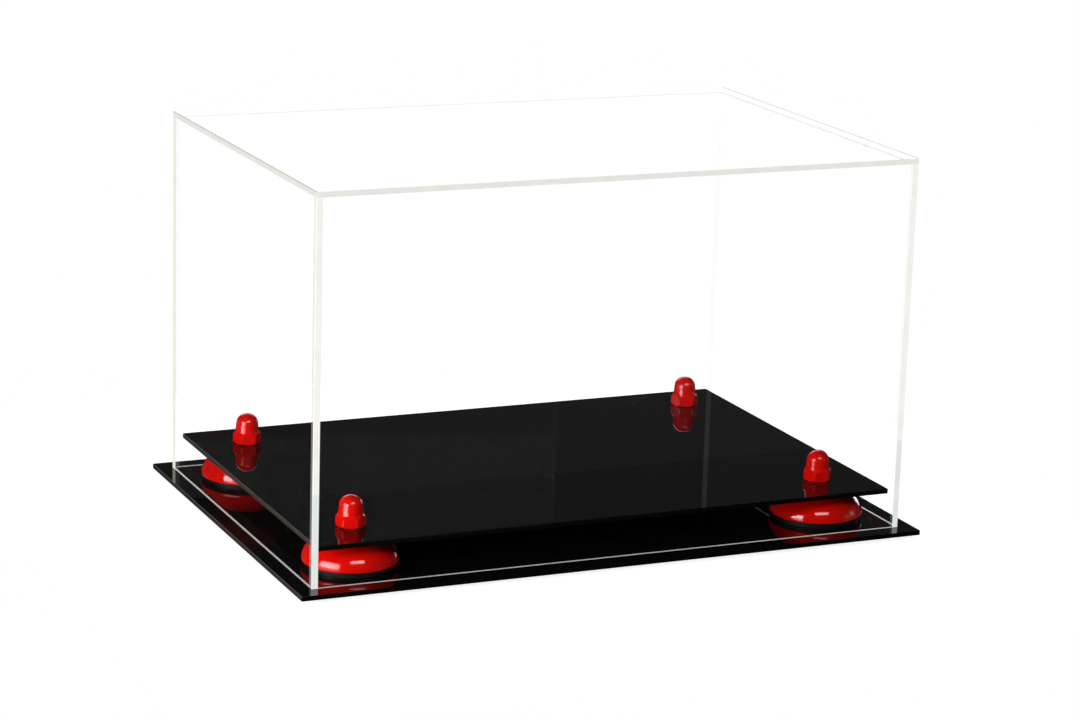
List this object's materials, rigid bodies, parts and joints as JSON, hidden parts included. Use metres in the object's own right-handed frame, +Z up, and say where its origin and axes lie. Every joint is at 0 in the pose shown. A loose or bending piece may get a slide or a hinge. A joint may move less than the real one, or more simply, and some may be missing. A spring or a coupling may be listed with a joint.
{
  "type": "display case",
  "caption": "Tabletop display case with a clear lift-off cover over a glossy black base plate and a raised black platform on domed red risers with hexagonal nut caps.",
  "frame": {"origin": "centre of the case's footprint, on the surface that its feet stand on", "axes": "+X to the right along the long side, -Y towards the front, +Z up"},
  "size_m": [0.3362, 0.2372, 0.1983],
  "materials": {
    "cover_clear": "clear acrylic sheet, polished faces and edges",
    "base_black": "black acrylic sheet, polished",
    "platform_black": "black acrylic sheet, polished",
    "riser_red": "gloss moulded ABS",
    "cap_red": "gloss moulded ABS",
    "seat_black": "gloss moulded ABS",
    "screw_steel": "zinc-plated steel",
    "nut_steel": "zinc-plated steel",
    "foot_rubber": "soft self-adhesive rubber, matt"
  },
  "bodies": {
    "stand": {"base_plate": "base_black", "platform": "platform_black", "foot_front_left": "foot_rubber", "foot_front_right": "foot_rubber", "foot_back_left": "foot_rubber", "foot_back_right": "foot_rubber", "screw_front_left": "screw_steel", "screw_front_right": "screw_steel", "screw_back_left": "screw_steel", "screw_back_right": "screw_steel", "riser_seat_front_left": "seat_black", "riser_seat_front_right": "seat_black", "riser_seat_back_left": "seat_black", "riser_seat_back_right": "seat_black", "riser_front_left": "riser_red", "riser_front_right": "riser_red", "riser_back_left": "riser_red", "riser_back_right": "riser_red", "nut_front_left": "nut_steel", "nut_front_right": "nut_steel", "nut_back_left": "nut_steel", "nut_back_right": "nut_steel", "nut_cap_front_left": "cap_red", "nut_cap_front_right": "cap_red", "nut_cap_back_left": "cap_red", "nut_cap_back_right": "cap_red"},
    "cover": {"cover_top": "cover_clear", "cover_front": "cover_clear", "cover_back": "cover_clear", "cover_left": "cover_clear", "cover_right": "cover_clear"}
  },
  "joints": [
    {"name": "cover_lift", "type": "slide", "parent": "stand", "child": "cover", "axis": [0, 0, 1], "range_m": [0, 0.2]}
  ]
}
